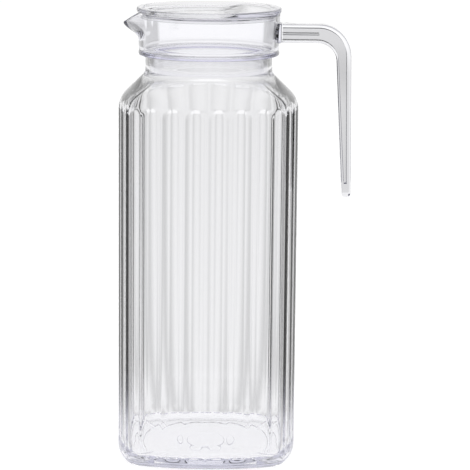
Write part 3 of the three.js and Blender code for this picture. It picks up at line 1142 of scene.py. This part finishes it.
def rib_cutter(side):
    """The block that is left out of a core, so that a rib stays along the arm."""
    near, far = sorted((side * (web_side - cut_past), side * (handle_half + 2 * cut_past)))
    middle = collar_rim - arm_drop - (arm_height + outer_flange - inner_flange) / 2
    low = Vector((pocket_root - cut_past, near, middle - arm_rib / 2))
    high = Vector((handle_reach - outer_bend, far, middle + arm_rib / 2))
    corners = [Vector((x, y, z)) for x in (low.x, high.x) for y in (low.y, high.y) for z in (low.z, high.z)]
    faces = [(0, 1, 3, 2), (4, 6, 7, 5), (0, 4, 5, 1), (2, 3, 7, 6), (0, 2, 6, 4), (1, 5, 7, 3)]
    return solid_object("rib", [point * mm for point in corners], faces)


def boolean(target, cutter, operation):
    """Joins or cuts by a Boolean modifier, applied at once, and removes the other mesh."""
    modifier = target.modifiers.new("join", "BOOLEAN")
    modifier.operation = operation
    modifier.solver = "EXACT"
    modifier.object = cutter
    graph = bpy.context.evaluated_depsgraph_get()
    made = bpy.data.meshes.new_from_object(target.evaluated_get(graph))
    target.modifiers.clear()
    old, target.data = target.data, made
    bpy.data.meshes.remove(old)
    bpy.data.objects.remove(cutter)


for side in (1, -1):
    core = core_cutter(side)
    boolean(core, rib_cutter(side), "DIFFERENCE")
    boolean(bar, core, "DIFFERENCE")
print("handle", len(bar.data.polygons), "faces")

# %% Make the collar
handle_start = collar_rim_radius + 0.5
facing_sideways = 0.99
web_nearness = 0.05

boolean(collar, bar, "UNION")
finish_skin(collar, collar_plastic)
collar.data.materials.append(handle_plastic)
# The web's faces get the plastic that is painted grey shade.
collar.data.materials.append(web_painted_shade_plastic)
for face in collar.data.polygons:
    centre = face.center / mm
    if centre.x > handle_start:
        near_web = abs(abs(centre.y) - web_side) < web_nearness
        on_web = near_web and abs(face.normal.y) > facing_sideways
        face.material_index = 2 if on_web else 1
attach(collar, "collar")
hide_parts("collar_with_spout_and_handle")

# %% [markdown]
# ## Lid
#
# The lid is a shallow cap: a flange that rests on the collar's rim, a plug below it, and a finger well sunk
# into its top on the spout's side. Towards the handle the well's floor rises to a thumb shelf just below
# the flange. The lid is round everywhere else, so it is one skin of turned rows, and only the height of
# its top follows that rise. Its underside is flat: a second rise below would show as another dark line.

# %% Lid sizes
lid_flange = 2.3
lid_edge = 0.7
lid_rim_width = 2.9
lid_panel = 1.5
well_depth = 2.6
well_wall_width = 2.0
well_wall_steps = 10
shelf_drop = 0.5
shelf_start = 12.0
shelf_rise_length = 16.0
under_fillet = 0.8
lid_segments = 200
panel_rings = 16

lid_radius = lid_high.y
lid_top = lid_high.z
lid_plug_foot = lid_low.z
lid_plug_radius = collar_rim_radius - collar_wall - plug_gap
well_radius = lid_radius - lid_rim_width
lid_bore = well_radius - well_wall_width
print("lid", round(2 * lid_radius, 2), "mm across")


# %% Rows of the lid
def panel_top(x):
    """The height of the panel's top at a place along the jug's width."""
    rise = ease((x - shelf_start) / shelf_rise_length + 0.5)
    return lid_top - blend(well_depth, shelf_drop, rise)


def lid_ring(radius, height):
    """A ring of points. The height is a number, or a function of the place along the jug's width."""
    ring = []
    for step in range(lid_segments):
        angle = 2 * math.pi * step / lid_segments
        x, y = radius * math.cos(angle), radius * math.sin(angle)
        ring.append(Vector((x, y, height(x) if callable(height) else height)))
    return ring


def lid_rows():
    """Rows from the middle of the underside, round the plug and the flange, to the middle of the top."""
    r = edge_rounding
    flange_foot = lid_top - lid_flange
    panel_foot = lid_top - well_depth - lid_panel
    under_radius = lid_bore - under_fillet
    rows = [[Vector((0, 0, panel_foot))]]
    for step in range(1, panel_rings + 1):
        rows.append(lid_ring(under_radius * step / panel_rings, panel_foot))
    for radius, height in arc(under_radius, panel_foot - under_fillet, under_fillet, 90, 0, 4)[1:]:
        rows.append(lid_ring(radius, height))
    outside = arc(lid_bore + r, lid_plug_foot + r, r, 180, 270, 3)
    outside += arc(lid_plug_radius - r, lid_plug_foot + r, r, -90, 0, 3)
    outside += arc(lid_plug_radius + r, flange_foot - r, r, 180, 90, 3)
    outside += arc(lid_radius - r, flange_foot + r, r, -90, 0, 3)
    outside += arc(lid_radius - lid_edge, lid_top - lid_edge, lid_edge, 0, 90, 5)
    outside.append((well_radius, lid_top))
    rows += [lid_ring(radius, height) for radius, height in supported(outside)]
    for step in range(1, well_wall_steps + 1):
        fall = ease(step / well_wall_steps)
        radius = well_radius - well_wall_width * step / well_wall_steps
        rows.append(lid_ring(radius, lambda x: blend(lid_top, panel_top(x), fall)))
    for step in range(panel_rings - 1, 0, -1):
        rows.append(lid_ring(lid_bore * step / panel_rings, panel_top))
    return rows + [[Vector((0, 0, panel_top(0)))]]


# %% Make the lid
lid = skin_object("clear_lid", lid_rows())
finish_skin(lid, lid_plastic)
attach(lid, "lid")
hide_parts("lid")
